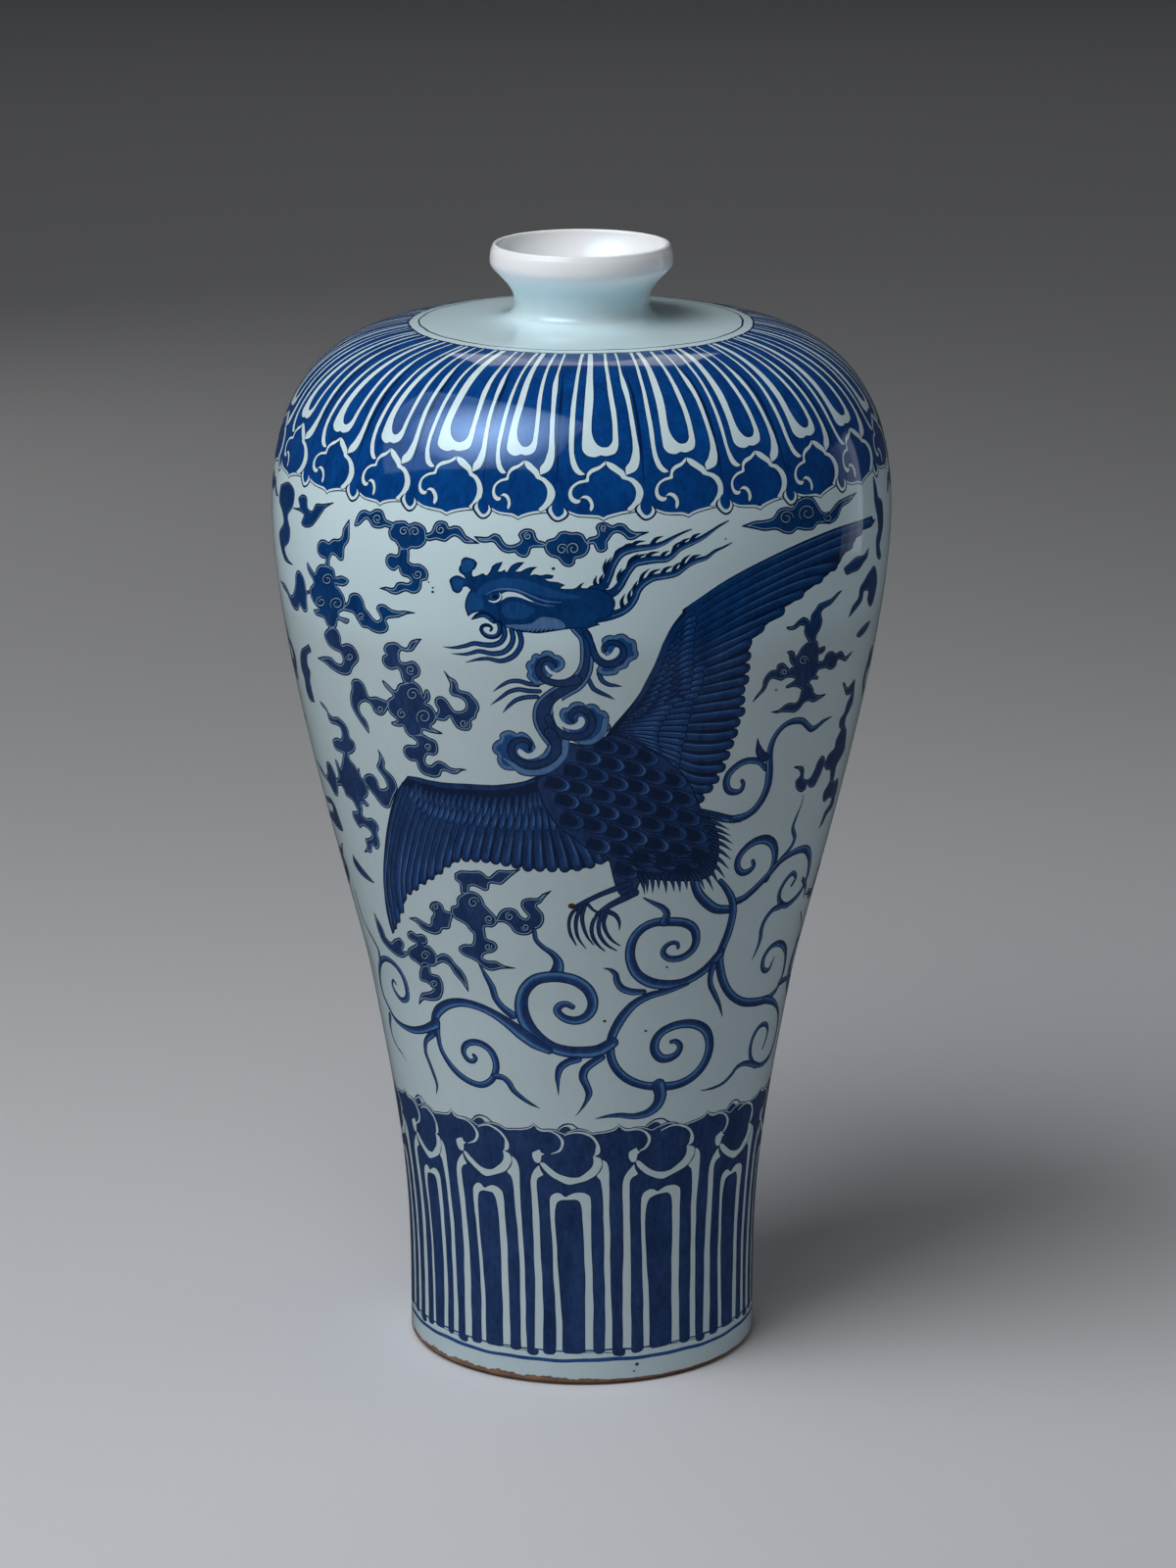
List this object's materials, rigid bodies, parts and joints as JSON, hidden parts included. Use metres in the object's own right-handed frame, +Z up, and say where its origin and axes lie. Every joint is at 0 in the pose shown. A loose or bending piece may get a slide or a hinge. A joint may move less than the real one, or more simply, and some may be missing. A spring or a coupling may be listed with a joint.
{
  "type": "meiping vase",
  "caption": "Tall porcelain vase with a small rolled mouth, short waisted neck, broad shoulder and tapering body on a turned foot, painted in cobalt blue, for holding a branch.",
  "frame": {"origin": "on the vase's axis, in the plane its foot stands on", "axes": "+Z up along the axis the vase was turned on, -Y towards the painted front"},
  "size_m": [0.3106, 0.3106, 0.57],
  "materials": {
    "glazed_porcelain": "clear gloss glaze over white porcelain with cobalt painting",
    "luting_slip": "fired porcelain slip under the same glaze"
  },
  "bodies": {
    "root": {"foot_ring": "glazed_porcelain", "base_disc": "glazed_porcelain", "base_slip": "luting_slip", "foot_slip": "luting_slip", "lower_body": "glazed_porcelain", "body_slip": "luting_slip", "upper_body": "glazed_porcelain", "shoulder_slip": "luting_slip", "shoulder_cap": "glazed_porcelain", "neck_slip": "luting_slip", "neck": "glazed_porcelain"}
  },
  "joints": []
}
